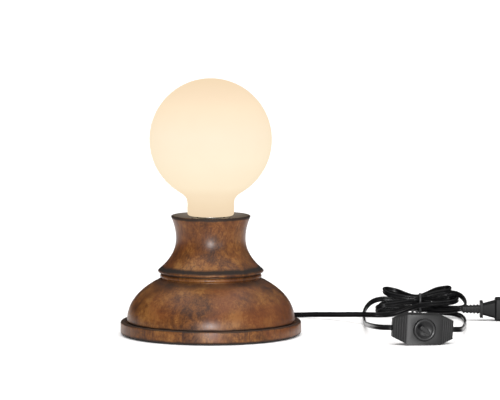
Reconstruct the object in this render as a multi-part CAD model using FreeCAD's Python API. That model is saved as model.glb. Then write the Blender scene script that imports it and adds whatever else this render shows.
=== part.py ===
import FreeCAD, Part
import math
import os
from FreeCAD import Placement, Rotation, Vector

# Bare bulb table lamp: a turned wooden base, an opal globe bulb in a screw socket, and a flat twin cord
# with a rotary dimmer, a tied hank and a two-pin plug.
# Millimetres, +Z up. The origin is the centre of the base's underside, on the surface that the lamp
# stands on. The dimmer's knob looks towards -Y, which is the front.

# ---------------------------------------------------------------- driving dimensions: wooden base
base_diameter = 188.0          # plinth, the widest turning
plinth_top = 13.0              # where the dome stands on the plinth, above the table
plinth_rise = 1.6              # how far the plinth's edge stands above that
plinth_edge_radius = 2.2       # rounding of its top and bottom edges
dome_diameter = 174.6          # foot of the dome
dome_groove = 1.6              # height of the dark groove between plinth and dome
dome_top = 58.6                # seam where the neck stands on the dome
dome_shoulder_diameter = 107.0  # top edge of the dome
dome_shoulder_pull = 22.0      # how far the curve runs on in the direction of the shoulder's slope
dome_foot_pull = 20.0          # how far it runs on upright at the foot
bead_diameter = 105.6          # small bead under the flange
bead_groove_diameter = 102.6   # quirks on both sides of the bead
bead_height = 5.2
flange_diameter = 110.0
flange_edge = 2.6              # thickness of the flange's rounded edge
flange_gap = 1.6               # undercut between bead and flange
waist_diameter = 72.4
waist_height = 100.7
waist_pull_down = 14.0         # how far the neck's curve stays upright below and above the waist
waist_pull_up = 9.0
flange_pull = 13.0             # how far it runs on in the direction of the flange's slope
rim_diameter = 82.4
rim_height = 124.5
rim_pull = 7.0
rim_lip = 2.6                  # width of the rounded lip
mouth_depth = 11.0             # dished mouth inside the lip
neck_bore_diameter = 50.0      # bore that the socket stands in
neck_bore_depth = 50.0         # from the rim to the bore's floor
tenon_diameter = 62.0          # glued tenon of the neck in the dome
tenon_length = 14.0
glue_gap = 0.1                 # all round a glued or pushed-in piece
wiring_bay_diameter = 40.0     # bored from below through the plinth into the dome
wiring_bay_top = 22.0
pad_thickness = 1.5
pad_inset = 4.0                # the pad's edge inside the plinth's side
screw_circle_diameter = 128.0  # the three wood screws that hold the plinth
screw_count = 3
screw_diameter = 4.0
screw_head_diameter = 8.0
screw_length = 26.0

# ---------------------------------------------------------------- driving dimensions: tube and socket
tube_diameter = 10.0
tube_bore = 8.0
tube_clearance = 0.2           # of every hole that the tube passes
thread_clearance = 0.01        # all round a threaded or moulded-in piece
tube_below_nut = 2.0           # tube that stands out of the lower nut
nut_width = 14.0               # across flats
nut_height = 4.0
washer_diameter = 22.0
washer_thickness = 1.2
socket_diameter = 40.0
socket_wall = 2.0
socket_floor = 2.0
socket_hub_diameter = 17.0
socket_hub_height = 4.0
socket_gap = 0.8               # between the seat nut and the socket's hub
socket_cup_height = 10.0       # from the socket's floor to the seam with its sleeve
block_height = 9.0             # moulded block with the terminals
block_recess_diameter = 18.0
block_recess = 4.0
shell_wall = 0.5               # brass screw shell
contact_width = 5.0
contact_rise = 2.5
contact_hole_diameter = 12.0   # in the screw shell's floor
socket_lip = 2.0               # top lip of the sleeve
socket_lip_reach = 4.6         # how far the lip reaches in
socket_below_collar = 2.0      # gap between the sleeve's top and the bulb's collar
terminal_flat = 13.0           # x of the block's flats, where the terminal screws sit
terminal_head_diameter = 6.0
terminal_head = 2.4
terminal_shank_diameter = 3.4
terminal_shank = 5.0
core_clearance = 0.4           # round the two cores in the block's slots
cap_clearance = 0.1            # between the bulb's cap and the screw shell, all round

# ---------------------------------------------------------------- driving dimensions: bulb
cap_diameter = 26.4            # E26 screw cap
cap_height = 21.0              # metal shell of the cap
cap_wall = 0.5
insulator_height = 4.0
insulator_overlap = 0.6        # how far the cap's nose covers the insulator
tip_diameter = 9.6
tip_height = 1.8
globe_diameter = 127.0         # G40 globe, five inches
globe_centre_above_collar = 79.1
collar_diameter = 48.6         # straight neck of the globe
collar_height = 12.5
collar_corner = 3.0
glass_wall = 0.9
shoulder_angle = 56.0          # where the neck's sweep leaves the sphere, below its equator
stem_height = 36.0
stem_diameter = 8.0
stem_flare_diameter = 23.0
filament_height = 62.0         # above the collar's underside
filament_radius = 15.0
wire_diameter = 0.8
filament_diameter = 1.0
feed_depth = 4.0               # how deep the wires go into the stem
support_depth = 2.0

# ---------------------------------------------------------------- driving dimensions: dimmer
dimmer_length = 62.6
dimmer_height = 30.2
dimmer_end_height = 18.5
dimmer_face_length = 34.8      # flat middle between the tapers
dimmer_front = 12.0            # depth of the front shell
dimmer_back = 10.0             # depth of the back shell
dimmer_end_depth = 4.0         # depth of each shell at the ends
dimmer_wall = 2.0
grip_count = 5                 # grip grooves on each front taper
grip_width = 0.9
grip_depth = 0.6
knob_diameter = 22.6
knob_height = 4.4              # disc above the floor of its recess
knob_recess = 1.4
knob_clearance = 0.5
knob_dish = 1.6                # hollow in the knob's face round the grip
knob_dish_diameter = 18.0
grip_bar_length = 12.0
grip_bar_width = 4.2
grip_bar_proud = 1.6           # above the knob's rim
grip_bar_angle = -36.0         # as it stands in the lit position, from level, seen from the front
shaft_diameter = 6.0
shaft_play = 0.05
shaft_seat = 2.5               # how deep the shaft turns in the potentiometer
shaft_cover = 0.6              # knob left over the shaft's end
pot_diameter = 16.0
pot_height = 6.0
pot_neck_diameter = 9.0
pot_neck_height = 1.5
board_length = 44.0
board_height = 20.0
board_thickness = 1.6
board_behind_seam = 3.0
triac_size = (10.0, 4.5, 9.0)
capacitor_size = (8.0, 5.0, 7.0)
component_drop = 2.5           # of both below the board's middle
case_screw_diameter = 2.4
case_screw_head_diameter = 4.0
case_screw_head = 1.6
case_post_diameter = 5.4
case_screw_offset = (12.5, 10.6)
dimmer_centre = (216.6, -77.8)
dimmer_yaw = 8.0               # its face is turned a little to the right
dimmer_roll = 2.9              # the stiff cord holds its left end up a little

# ---------------------------------------------------------------- driving dimensions: plug
plug_axis = (113.0, 12.25)     # y and z of its axis
plug_start = 267.6             # x of the strain relief's end
relief_length = 18.9
relief_size = (8.2, 7.0)       # height and width of the ribs' core at the plug end
relief_end_size = (6.6, 6.2)   # and where the cord comes out
rib_count = 5
rib_width = 2.0
rib_proud = 0.7
fin_size = (18.0, 14.0)
fin_thickness = 3.1
plug_neck_size = (12.2, 11.0)
plug_neck_length = 13.0
plug_shoulder_size = (18.6, 15.0)
plug_face_size = (24.5, 18.5)
plug_face_thickness = 8.4
plug_face_bevel = 1.2
plug_corner = 2.4
blade_spacing = 12.7
blade_thickness = 1.5
blade_length = 17.5
blade_seat = 8.0               # hidden in the body
blade_hole_diameter = 3.2
blade_hole_from_tip = 4.2
narrow_blade = 6.35
wide_blade = 7.94

# ---------------------------------------------------------------- driving dimensions: cord
cord_diameter = 5.6            # width of the flat twin cord, which mostly stands on edge
bushing_height = 7.4           # z of the cord's way out of the plinth, at the back
bushing_length = 12.0          # inside the plinth
bushing_diameter = 9.4
bushing_outside = 11.0
bushing_end_diameter = 7.6
channel_clearance = 0.6        # round the cord inside the wood
inner_cord_height = 5.6        # z of the cord in the wiring bay
lead_diameter = 2.2            # one insulated core
tie_width = 2.6
tie_thickness = 0.9
hank_y = 145.0
# the hank's outer shape, from left to right: x, height, width, height of the centre
hank_sections = [
    (171.5, 10.0, 15.0, 11.0),
    (177.0, 22.0, 30.0, 13.6),
    (189.0, 29.0, 40.0, 16.3),
    (206.0, 24.0, 30.0, 15.0),
    (224.0, 17.6, 15.0, 14.4),
    (240.0, 26.0, 29.0, 17.0),
    (254.0, 29.0, 40.0, 16.6),
    (267.0, 23.0, 32.0, 14.4),
    (274.5, 11.0, 16.0, 13.0),
]

# Routes of the free cord, chosen by hand: out of the bushing and along the table behind the base to the hank,
# then from the hank round to each end of the dimmer, and from the hank to the plug.
lamp_lead_route = [
    (0.0, 116.6, 7.4), (8.6, 130.4, 5.4), (26.0, 138.0, 2.8), (56.0, 139.6, 2.8), (88.0, 135.5, 2.8),
    (114.0, 128.0, 3.4), (136.0, 111.6, 6.0), (151.0, 93.0, 8.8), (164.0, 78.6, 10.6),
    (179.0, 75.6, 10.6), (192.0, 83.4, 10.2), (203.0, 101.0, 10.9), (213.0, 119.0, 13.0),
    (223.6, 129.6, 14.6), (237.0, 136.0, 16.4),
]
left_leg_route = [
    (178.6, -83.2, 17.6), (172.8, -80.0, 17.2), (170.4, -73.0, 16.2), (170.8, -57.0, 14.0),
    (172.6, -33.0, 11.0), (173.2, -4.0, 7.4), (171.0, 28.0, 4.2), (166.6, 60.0, 2.8), (163.0, 92.0, 2.8),
    (161.2, 120.0, 2.8), (161.6, 136.0, 6.2), (166.4, 147.6, 13.2), (177.0, 152.0, 18.0),
]
right_leg_route = [
    (253.3, -72.6, 14.2), (256.9, -67.4, 13.6), (256.6, -57.0, 12.4), (256.2, -38.0, 10.0),
    (258.2, -8.0, 6.8), (262.2, 26.0, 4.0), (266.0, 62.0, 2.8), (268.6, 94.0, 2.8), (267.2, 120.0, 2.8),
    (260.8, 137.0, 4.8),
]
plug_tail_route = [
    (237.0, 135.0, 10.4), (247.0, 122.4, 10.8), (259.0, 113.0, 12.25),
]

# ---------------------------------------------------------------- sizes worked out from those above
plinth_radius = base_diameter / 2
dome_foot = plinth_top + dome_groove
flange_bottom = dome_top + bead_height + flange_gap
tube_end_below = wiring_bay_top - washer_thickness - nut_height - tube_below_nut
neck_bore_floor = rim_height - neck_bore_depth
hub_bottom = neck_bore_floor + washer_thickness + nut_height + socket_gap
socket_bottom = hub_bottom + socket_hub_height
socket_inside = socket_bottom + socket_floor
tube_end_above = socket_inside
cord_split = tube_end_above - lead_diameter / 2
block_top = socket_inside + block_height
tip_bottom = block_top + contact_rise
collar_bottom = tip_bottom + tip_height - insulator_overlap + insulator_height + cap_height
socket_top = collar_bottom - socket_below_collar
shell_radius = cap_diameter / 2 + cap_clearance
globe_centre = collar_bottom + globe_centre_above_collar
bay_radius = wiring_bay_diameter / 2
bushing_outer_end = plinth_radius + bushing_outside
knob_floor = dimmer_front - knob_recess
shaft_top = knob_floor + knob_height - knob_dish - shaft_cover
case_screw_tip = dimmer_wall + 1.5 - dimmer_front
pot_back = board_behind_seam - board_thickness
pot_front = pot_height - pot_back
relief_end = plug_start + relief_length
neck_start = relief_end + fin_thickness
neck_end = neck_start + plug_neck_length
plug_face = neck_end + plug_face_thickness
tube_hole_diameter = tube_diameter + 2 * thread_clearance
cord_hole_diameter = cord_diameter + 2 * thread_clearance
terminal_height = socket_inside + core_clearance + lead_diameter + terminal_head_diameter / 2 + glue_gap
UP = Vector(0, 0, 1)
ORIGIN = Vector(0, 0, 0)

os.makedirs("parts", exist_ok=True)


def export(node, *solids):
    """Writes one sub-part: a single solid, or a group of like solids."""
    shape = solids[0] if len(solids) == 1 else Part.makeCompound(list(solids))
    shape.exportStep("parts/" + node + ".step")


def turned(start, *steps):
    """Solid turned about Z from an outline of (r, z) points: a step of one point is a line, two an arc
    through the first, three a smooth curve drawn towards the first two. The outline closes itself."""
    here = Vector(start[0], 0, start[1])
    first = here
    edges = []
    for step in steps + ([start],):
        points = [Vector(r, 0, z) for r, z in step]
        if len(points) == 1:
            edge = Part.LineSegment(here, points[0])
        elif len(points) == 2:
            edge = Part.Arc(here, points[0], points[1])
        else:
            edge = Part.BezierCurve()
            edge.setPoles([here] + points)
        edges.append(edge.toShape())
        here = first if step == [start] else points[-1]
    return Part.Face(Part.Wire(edges)).revolve(ORIGIN, UP, 360)


def cylinder(diameter, low, high, x=0.0, y=0.0):
    return Part.makeCylinder(diameter / 2, high - low, Vector(x, y, low))


def ring(outer, inner, low, high):
    return cylinder(outer, low, high).cut(cylinder(inner, low - 1, high + 1))


def rod(diameter, start, end):
    start, end = Vector(*start), Vector(*end)
    return Part.makeCylinder(diameter / 2, (end - start).Length, start, end - start)


def block(x0, x1, y0, y1, z0, z1):
    return Part.makeBox(x1 - x0, y1 - y0, z1 - z0, Vector(x0, y0, z0))


def prism(points, along):
    """Straight prism from a closed outline of vectors, pushed along a vector."""
    return Part.Face(Part.makePolygon(points + points[:1])).extrude(along)


def hexagon(width, low, high):
    corner = width / math.sqrt(3)
    turns = [k * math.pi / 3 for k in range(6)]
    points = [Vector(corner * math.cos(t), corner * math.sin(t), low) for t in turns]
    return prism(points, Vector(0, 0, high - low))


def corner_cuts(points):
    """For each inner point of a route: how far the arc starts from it, and its radius."""
    cuts = []
    for before, here, after in zip(points, points[1:], points[2:]):
        turn = (here - before).getAngle(after - here)
        cut = 0.45 * min((here - before).Length, (after - here).Length)
        cuts.append((cut, cut / math.tan(turn / 2)))
    return cuts


def round_tube(name, route, diameter):
    """Cord along a route of straight runs joined by tangent arcs, each as large as its runs allow."""
    points = [Vector(*p) for p in route]
    cuts = corner_cuts(points)
    edges = []
    here = points[0]
    for (before, corner, after), (cut, _) in zip(zip(points, points[1:], points[2:]), cuts):
        back = (before - corner).normalize()
        on = (after - corner).normalize()
        arc_start = corner + back * cut
        arc_end = corner + on * cut
        bisector = (back + on).normalize()
        half = back.getAngle(on) / 2
        radius = cut * math.tan(half)
        middle = corner + bisector * (radius / math.sin(half) - radius)
        edges.append(Part.LineSegment(here, arc_start).toShape())
        edges.append(Part.Arc(arc_start, middle, arc_end).toShape())
        here = arc_end
    edges.append(Part.LineSegment(here, points[-1]).toShape())
    path = Part.Wire(edges)
    section = Part.Wire(Part.Circle(points[0], points[1] - points[0], diameter / 2).toShape())
    tube = path.makePipeShell([section], True, False)
    ideal = math.pi * diameter ** 2 / 4 * path.Length
    radii = ", ".join(f"{radius:.1f}" for _, radius in cuts)
    print(f"{name}: length {path.Length:.1f}, volume {tube.Volume / ideal:.4f} of ideal, radii {radii}")
    return tube


# ---------------------------------------------------------------- wooden base
def turned_neck():
    """Waisted neck with its dished mouth, flange and bead, on a tenon that is glued into the dome."""
    slope = Vector(1.2, -1.0, 0).normalize()
    rim_slope = Vector(0.4, 1.0, 0).normalize()
    groove = bead_groove_diameter / 2
    flange = flange_diameter / 2
    rim = rim_diameter / 2
    waist = waist_diameter / 2
    edge_top = flange_bottom + flange_edge
    bead_low = dome_top + 0.5
    bead_high = dome_top + bead_height
    lip_drop = rim_lip / 2
    lip_middle = rim - lip_drop
    mouth_edge = rim - rim_lip
    bore = neck_bore_diameter / 2
    mouth_floor = rim_height - mouth_depth
    tenon = tenon_diameter / 2
    tenon_end = dome_top - tenon_length
    hole = tube_diameter / 2 + tube_clearance
    body = turned(
        (hole, tenon_end),
        [(tenon, tenon_end)],
        [(tenon, dome_top)],
        [(groove, dome_top)],
        [(groove, bead_low)],
        [(bead_diameter / 2, (bead_low + bead_high) / 2), (groove, bead_high)],
        [(groove - 0.3, bead_high + flange_gap * 0.45), (groove + 1.2, flange_bottom - 0.1)],
        [(flange - 0.8, flange_bottom)],
        [(flange, flange_bottom + flange_edge * 0.5), (flange - 0.6, edge_top)],
        [(flange - 0.6 - slope.x * flange_pull, edge_top - slope.y * flange_pull),
         (waist, waist_height - waist_pull_down), (waist, waist_height)],
        [(waist, waist_height + waist_pull_up),
         (rim - rim_slope.x * rim_pull, rim_height - lip_drop - rim_slope.y * rim_pull),
         (rim, rim_height - lip_drop)],
        [(lip_middle, rim_height), (mouth_edge, rim_height - lip_drop)],
        [(mouth_edge - 2.0, mouth_floor + mouth_depth * 0.35), (bore + 5.0, mouth_floor + 0.6),
         (bore, mouth_floor)],
        [(bore, neck_bore_floor)],
        [(hole, neck_bore_floor)],
    )
    return body


def turned_dome():
    """Dome under the neck, socketed for the tenon and bored from below for the wiring."""
    shoulder = dome_shoulder_diameter / 2
    foot = dome_diameter / 2
    slope = Vector(2.0, -1.0, 0).normalize()
    socket = tenon_diameter / 2 + glue_gap
    socket_floor_height = dome_top - tenon_length - glue_gap
    hole = tube_diameter / 2 + tube_clearance
    groove = foot - dome_groove * 0.6
    solid = turned(
        (bay_radius, plinth_top),
        [(groove, plinth_top)],
        [(groove, plinth_top + dome_groove * 0.4), (foot, dome_foot)],
        [(foot, dome_foot + dome_foot_pull),
         (shoulder + slope.x * dome_shoulder_pull, dome_top - 0.4 + slope.y * dome_shoulder_pull),
         (shoulder, dome_top - 0.4)],
        [(shoulder - 0.6, dome_top)],
        [(socket, dome_top)],
        [(socket, socket_floor_height)],
        [(hole, socket_floor_height)],
        [(hole, wiring_bay_top)],
        [(bay_radius, wiring_bay_top)],
    )
    for x, y in screw_places():
        solid = solid.cut(cylinder(screw_diameter + 2 * glue_gap, plinth_top - 1,
                                   pad_thickness + screw_length + glue_gap, x, y))
    return solid


def base_plinth():
    """Plinth ring with its rounded edges, countersunk for the screws and drilled at the back for the cord."""
    r = plinth_radius
    e = plinth_edge_radius
    diagonal = e * (1 - math.sqrt(0.5))
    edge = plinth_top + plinth_rise
    lip = dome_diameter / 2 + 1.0
    solid = turned(
        (bay_radius, pad_thickness),
        [(r - e, pad_thickness)],
        [(r - diagonal, pad_thickness + diagonal), (r, pad_thickness + e)],
        [(r, edge - e)],
        [(r - diagonal, edge - diagonal), (r - e, edge)],
        [(lip, plinth_top + dome_groove * 0.3)],
        [(lip - 0.8, plinth_top)],
        [(bay_radius, plinth_top)],
    )
    for x, y in screw_places():
        solid = solid.cut(screw(x, y, glue_gap))
    channel = rod(cord_diameter + 2 * channel_clearance, (0, bay_radius - 1, bushing_height),
                  (0, r + 1, bushing_height))
    seat = rod(bushing_diameter, (0, r - bushing_length, bushing_height), (0, r + 1, bushing_height))
    return solid.cut(channel).cut(seat)


def screw_places():
    turns = [math.radians(30 + 360 * k / screw_count) for k in range(screw_count)]
    radius = screw_circle_diameter / 2
    return [(radius * math.cos(t), radius * math.sin(t)) for t in turns]


def screw(x, y, grow=0.0):
    """Countersunk wood screw from below, through the plinth into the dome."""
    head = screw_head_diameter / 2 + grow
    shank = screw_diameter / 2 + grow
    sunk = (screw_head_diameter - screw_diameter) / 2
    low = pad_thickness
    solid = turned(
        (0, low), [(head, low)], [(shank, low + sunk)], [(shank, low + screw_length - 4)],
        [(0.4, low + screw_length + grow)], [(0, low + screw_length + grow)],
    )
    solid.translate(Vector(x, y, 0))
    return solid


export("turned_neck", turned_neck())
export("turned_dome", turned_dome())
export("base_plinth", base_plinth())
export("base_pad", cylinder(base_diameter - 2 * pad_inset, 0, pad_thickness))
export("base_screws", *[screw(x, y) for x, y in screw_places()])


# ---------------------------------------------------------------- threaded tube and its fasteners
nut_bottom = wiring_bay_top - washer_thickness - nut_height
seat_washer_top = neck_bore_floor + washer_thickness
export("threaded_tube", ring(tube_diameter, tube_bore, tube_end_below, tube_end_above))
export("bottom_washer", ring(washer_diameter, tube_hole_diameter, nut_bottom + nut_height, wiring_bay_top))
export("bottom_nut", hexagon(nut_width, nut_bottom, nut_bottom + nut_height)
       .cut(cylinder(tube_hole_diameter, 0, wiring_bay_top)))
export("seat_washer", ring(washer_diameter, tube_hole_diameter, neck_bore_floor, seat_washer_top))
export("seat_nut", hexagon(nut_width, seat_washer_top, seat_washer_top + nut_height)
       .cut(cylinder(tube_hole_diameter, 0, socket_top)))


# ---------------------------------------------------------------- screw socket
def socket_cup():
    """Lower half of the socket's case, with the hub that screws on the tube."""
    outer = socket_diameter / 2
    inner = outer - socket_wall
    hub = socket_hub_diameter / 2
    hole = tube_hole_diameter / 2
    seam = socket_inside + socket_cup_height
    return turned(
        (hole, hub_bottom), [(hub, hub_bottom)], [(hub + 1.0, socket_bottom)], [(outer - 2.0, socket_bottom)],
        [(outer - 0.6, socket_bottom + 0.6), (outer, socket_bottom + 2.0)], [(outer, seam)], [(inner, seam)],
        [(inner, socket_inside)], [(hole, socket_inside)],
    )


def socket_sleeve():
    """Upper half of the case, turned in at the top over the screw shell."""
    outer = socket_diameter / 2
    inner = outer - socket_wall
    seam = socket_inside + socket_cup_height
    lip = outer - socket_lip_reach
    return turned(
        (inner, seam), [(outer, seam)], [(outer, socket_top - 1.2)],
        [(outer - 0.35, socket_top - 0.35), (outer - 1.2, socket_top)], [(lip, socket_top)],
        [(lip, socket_top - socket_lip)], [(inner, socket_top - socket_lip)],
    )


def terminal_screw(side, grow=0.0):
    face = side * terminal_flat
    shank = rod(terminal_shank_diameter + 2 * grow, (face - side * terminal_shank, 0, terminal_height),
                (face, 0, terminal_height))
    head = rod(terminal_head_diameter, (face, 0, terminal_height),
               (face + side * terminal_head, 0, terminal_height))
    return shank.fuse(head).removeSplitter() if grow == 0.0 else shank


def socket_block():
    """Moulded block: flats for the terminals, a recess for the tube's end and slots for the two cores."""
    radius = socket_diameter / 2 - socket_wall - glue_gap
    solid = cylinder(2 * radius, socket_inside, block_top)
    solid = solid.cut(cylinder(block_recess_diameter, socket_inside - 1, socket_inside + block_recess))
    for side in (-1, 1):
        flat = sorted((side * terminal_flat, side * (radius + 1)))
        solid = solid.cut(block(flat[0], flat[1], -radius, radius, socket_inside - 1, block_top + 1))
        solid = solid.cut(terminal_screw(side, thread_clearance))
    slot = lead_diameter / 2 + core_clearance
    return solid.cut(block(-radius, radius, -slot, slot, socket_inside - 1, socket_inside + block_recess))


def screw_shell():
    outer = 2 * (shell_radius + shell_wall)
    top = socket_top - socket_lip
    tube = ring(outer, 2 * shell_radius, block_top, top)
    return tube.fuse(ring(outer, contact_hole_diameter, block_top, block_top + shell_wall)).removeSplitter()


def centre_contact():
    """Springy brass leaf, folded back over itself under the bulb's tip."""
    low, high = block_top, tip_bottom
    t = shell_wall
    reach = contact_width - 0.4
    middle = (low + high) / 2
    outer = [(-reach, low), (reach - 1.2, low), (reach - 1.2, high), (-reach + 2.0, high)]
    y = -contact_width / 2
    edges = [
        Part.LineSegment(Vector(outer[0][0], y, low), Vector(outer[1][0], y, low)).toShape(),
        Part.Arc(Vector(outer[1][0], y, low), Vector(reach, y, middle),
                 Vector(outer[2][0], y, high)).toShape(),
        Part.LineSegment(Vector(outer[2][0], y, high), Vector(outer[3][0], y, high)).toShape(),
        Part.LineSegment(Vector(outer[3][0], y, high), Vector(outer[3][0], y, high - t)).toShape(),
        Part.LineSegment(Vector(outer[3][0], y, high - t), Vector(outer[2][0], y, high - t)).toShape(),
        Part.Arc(Vector(outer[2][0], y, high - t), Vector(reach - t, y, middle),
                 Vector(outer[1][0], y, low + t)).toShape(),
        Part.LineSegment(Vector(outer[1][0], y, low + t), Vector(outer[0][0], y, low + t)).toShape(),
        Part.LineSegment(Vector(outer[0][0], y, low + t), Vector(outer[0][0], y, low)).toShape(),
    ]
    return Part.Face(Part.Wire(edges)).extrude(Vector(0, contact_width, 0))


export("socket_cup", socket_cup())
export("socket_sleeve", socket_sleeve())
export("socket_block", socket_block())
export("terminal_screws", terminal_screw(-1), terminal_screw(1))
export("screw_shell", screw_shell())
export("centre_contact", centre_contact())


# ---------------------------------------------------------------- bulb
cap_bottom = collar_bottom - cap_height
insulator_bottom = cap_bottom - insulator_height


def globe_glass():
    """Opal glass: a sphere that sweeps into a straight neck with a rounded end, blown to one thin wall."""
    def outline(inset):
        radius = globe_diameter / 2 - inset
        neck = collar_diameter / 2 - inset
        low = collar_bottom + inset
        corner = collar_corner - inset
        leave = math.radians(shoulder_angle)
        join = (radius * math.cos(leave), globe_centre - radius * math.sin(leave))
        straight_top = collar_bottom + collar_height
        pull = (join[1] - straight_top) * 0.55
        diagonal = corner * (1 - math.sqrt(0.5))
        side = (radius, globe_centre)
        up = math.radians(45)
        lower = math.radians(-shoulder_angle / 2)
        return [
            (0, globe_centre + radius),
            [(radius * math.sin(up), globe_centre + radius * math.cos(up)), side],
            [(radius * math.cos(lower), globe_centre + radius * math.sin(lower)), join],
            [(join[0] - pull * math.sin(leave), join[1] - pull * math.cos(leave)),
             (neck, straight_top + pull), (neck, straight_top)],
            [(neck, low + corner)],
            [(neck - diagonal, low + diagonal), (neck - corner, low)],
            [(0, low)],
        ]
    outside = turned(*outline(0.0))
    inside = turned(*outline(glass_wall))
    hole = cylinder(cap_diameter - 2 * cap_wall, collar_bottom - 1, collar_bottom + glass_wall + 1)
    return outside.cut(inside).cut(hole)


def bulb_cap():
    outer = cap_diameter / 2
    inner = outer - cap_wall
    nose = outer - 1.6
    return turned(
        (nose - cap_wall, cap_bottom), [(nose, cap_bottom)],
        [(outer - 0.5, cap_bottom + 0.5), (outer, cap_bottom + 1.6)], [(outer, collar_bottom)],
        [(inner, collar_bottom)], [(inner, cap_bottom + 1.8)],
        [(inner - 0.4, cap_bottom + 0.9), (nose - cap_wall, cap_bottom + 0.5)],
    )


def cap_insulator():
    """Black glass between the cap's shell and its tip."""
    nose = cap_diameter / 2 - 1.6
    tip = tip_diameter / 2
    return turned(
        (0, insulator_bottom), [(tip, insulator_bottom)], [(nose, cap_bottom - 0.4)], [(nose, cap_bottom)],
        [(0, cap_bottom)],
    )


def tip_contact():
    tip = tip_diameter / 2
    flat = tip - 1.6
    return turned(
        (0, tip_bottom), [(flat, tip_bottom)],
        [(tip - 0.6, tip_bottom + 0.35), (tip, insulator_bottom)], [(0, insulator_bottom)],
    )


def glass_stem():
    """Pressed glass stem that carries the filament's wires, flared where it is sealed in the neck."""
    low = collar_bottom + glass_wall
    flare = stem_flare_diameter / 2
    stem = stem_diameter / 2
    top = low + stem_height
    return turned(
        (0, low), [(flare, low)], [(stem + 1.0, low + 4.0), (stem, low + 12.0)], [(stem, top - stem)],
        [(stem * math.sin(math.pi / 4), top - stem + stem * math.cos(math.pi / 4)), (0, top)],
    )


def filament_parts():
    """Coiled filament on a half circle, its two feeding wires and its two hooks."""
    stem_top = collar_bottom + glass_wall + stem_height - stem_diameter / 2
    high = collar_bottom + filament_height
    r = filament_radius
    touch = (wire_diameter + filament_diameter) / 2
    ends = [(-r, 0), (r, 0)]
    hooks = [(-r * math.sin(math.pi / 6), r * math.cos(math.pi / 6)),
             (r * math.sin(math.pi / 6), r * math.cos(math.pi / 6))]
    foot = stem_diameter / 2 - wire_diameter
    hook_foot = wire_diameter * 1.5
    feeds = []
    for x, y in ends:
        start = (math.copysign(foot, x), y, stem_top - feed_depth)
        feeds.append(rod(wire_diameter, start, (x, y, high - touch)))
    supports = []
    for x, y in hooks:
        start = (math.copysign(hook_foot, x), hook_foot, stem_top - support_depth)
        supports.append(rod(wire_diameter, start, (x, y, high - touch)))
    arc = Part.Wire(Part.Arc(Vector(-r, 0, high), Vector(0, r, high), Vector(r, 0, high)).toShape())
    section = Part.Wire(Part.Circle(Vector(-r, 0, high), Vector(0, 1, 0), filament_diameter / 2).toShape())
    return feeds, supports, arc.makePipeShell([section], True, False)


stem = glass_stem()
feeds, supports, filament = filament_parts()
export("globe_glass", globe_glass())
export("bulb_cap", bulb_cap())
export("cap_insulator", cap_insulator())
export("tip_contact", tip_contact())
export("glass_stem", stem)
export("feed_wires", *[wire.cut(stem) for wire in feeds])
export("support_wires", *[wire.cut(stem) for wire in supports])
export("filament", filament)


# ---------------------------------------------------------------- cord inside the base
def bushing():
    """Strain relief pushed into the plinth: a sleeve with a tapered tail that stands out at the back."""
    start = plinth_radius - bushing_length
    radius = bushing_diameter / 2 - thread_clearance
    sleeve = rod(2 * radius, (0, start, bushing_height), (0, plinth_radius, bushing_height))
    tail = Part.makeCone(radius, bushing_end_diameter / 2, bushing_outside,
                         Vector(0, plinth_radius, bushing_height), Vector(0, 1, 0))
    bore = rod(cord_hole_diameter, (0, start - 1, bushing_height), (0, bushing_outer_end + 1, bushing_height))
    return sleeve.fuse(tail).removeSplitter().cut(bore)


inner_cord_route = [
    (0, bushing_outer_end, bushing_height), (0, plinth_radius - bushing_length, bushing_height - 0.01),
    (0, bay_radius, bushing_height), (0, bay_radius * 0.6, inner_cord_height),
    (0, 0, inner_cord_height + 0.6), (0, 0, tube_end_below + 4),
    (0, 0.02, (tube_end_below + cord_split) / 2), (0, 0, cord_split),
]


def supply_cores():
    """The two cores of the cord, from the tube's end to the terminal screws."""
    level = socket_inside + core_clearance + lead_diameter / 2
    apart = cord_diameter / 4
    end = terminal_flat + terminal_head / 2
    cores = []
    for side in (-1, 1):
        route = [(side * apart, 0, cord_split), (side * apart, 0, level), (side * end, 0, level)]
        cores.append(round_tube("supply core", route, lead_diameter))
    return cores


export("cord_bushing", bushing())
export("inner_cord", round_tube("inner_cord", inner_cord_route, cord_diameter))
export("supply_cores", *supply_cores())


# ---------------------------------------------------------------- dimmer, built with its face towards -Y
def in_place(shape):
    """Moves a dimmer piece to where the dimmer lies: rolled about its face's axis, yawed, on the table."""
    roll = math.radians(dimmer_roll)
    rest = dimmer_face_length / 2 * math.sin(roll) + dimmer_height / 2 * math.cos(roll)
    turn = Rotation(UP, dimmer_yaw).multiply(Rotation(Vector(0, 1, 0), dimmer_roll))
    shape = shape.copy()
    place = Placement(Vector(dimmer_centre[0], dimmer_centre[1], rest), turn)
    shape.Placement = place.multiply(shape.Placement)
    return shape


def case_body(inset):
    """Both shells in one: an eight-sided outline seen from the front, cut by a tapered one from above."""
    half, end = dimmer_length / 2 - inset, dimmer_height / 2 - inset
    face = dimmer_face_length / 2
    small = dimmer_end_height / 2 - inset
    front, back, thin = dimmer_front - inset, dimmer_back - inset, dimmer_end_depth - inset
    seen_front = [(-half, -small), (-face, -end), (face, -end), (half, -small),
                  (half, small), (face, end), (-face, end), (-half, small)]
    seen_above = [(-half, -thin), (-face, -front), (face, -front), (half, -thin),
                  (half, thin), (face, back), (-face, back), (-half, thin)]
    deep = 2 * dimmer_front
    upright = prism([Vector(x, -deep, z) for x, z in seen_front], Vector(0, 2 * deep, 0))
    level = prism([Vector(x, y, -deep) for x, y in seen_above], Vector(0, 0, 2 * deep))
    return upright.common(level)


def case_shell(front):
    solid = case_body(0.0).cut(case_body(dimmer_wall))
    deep = 2 * dimmer_front
    away = block(-dimmer_length, dimmer_length, 0, deep, -deep, deep) if front else \
        block(-dimmer_length, dimmer_length, -deep, 0, -deep, deep)
    return solid.cut(away)


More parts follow.
